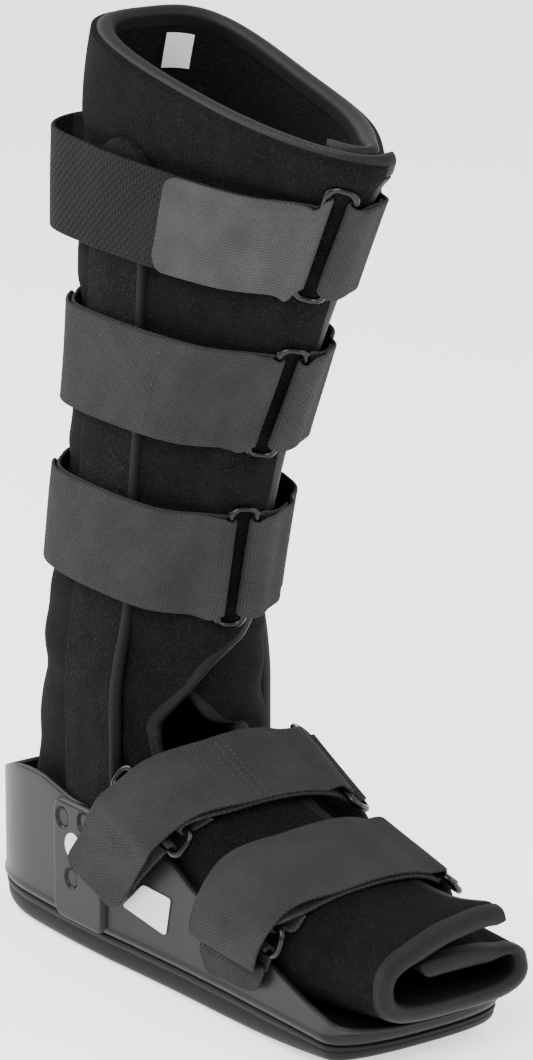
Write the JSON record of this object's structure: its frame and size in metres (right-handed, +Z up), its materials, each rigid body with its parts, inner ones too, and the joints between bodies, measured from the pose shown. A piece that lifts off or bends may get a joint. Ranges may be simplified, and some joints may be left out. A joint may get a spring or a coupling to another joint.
{
  "type": "medical walking boot",
  "caption": "Tall rocker-soled walking boot: moulded shell, two side uprights, padded wrap-round liner open at the toe, and ring straps over the leg and foot.",
  "frame": {"origin": "on the ground under the uprights, midway between the sides", "axes": "+Z up, -Y towards the toe, -X towards the side with the labels"},
  "size_m": [0.1159, 0.3147, 0.4421],
  "materials": {
    "outsole": "moulded black rubber",
    "shell": "satin moulded plastic, warm dark grey",
    "loop_fabric": "brushed loop fabric, near black",
    "binding": "ribbed woven binding tape",
    "webbing": "woven strap with a soft loop face",
    "ring": "polished black",
    "label": "blank white"
  },
  "bodies": {
    "root": {"outsole": "outsole", "shell": "shell", "rivet_near_1": "shell", "rivet_near_2": "shell", "rivet_near_3": "shell", "rivet_far_1": "shell", "rivet_far_2": "shell", "rivet_far_3": "shell", "round_label": "label", "side_label": "label", "upright_near": "loop_fabric", "upright_ribbon_near": "binding", "upright_far": "loop_fabric", "upright_ribbon_far": "binding", "leg_liner": "loop_fabric", "foot_liner": "loop_fabric", "rim_binding": "binding", "toe_binding": "binding", "far_flap_binding": "binding", "near_flap_binding": "binding", "inner_tag": "label", "strap_top": "webbing", "ring_top": "ring", "strap_middle": "webbing", "ring_middle": "ring", "strap_lower": "webbing", "ring_lower": "ring", "strap_instep": "webbing", "anchor_instep_near": "webbing", "anchor_instep_far": "webbing", "ring_instep_near": "ring", "ring_instep_far": "ring", "strap_forefoot": "webbing", "anchor_forefoot_near": "webbing", "anchor_forefoot_far": "webbing", "ring_forefoot_near": "ring", "ring_forefoot_far": "ring"}
  },
  "joints": []
}
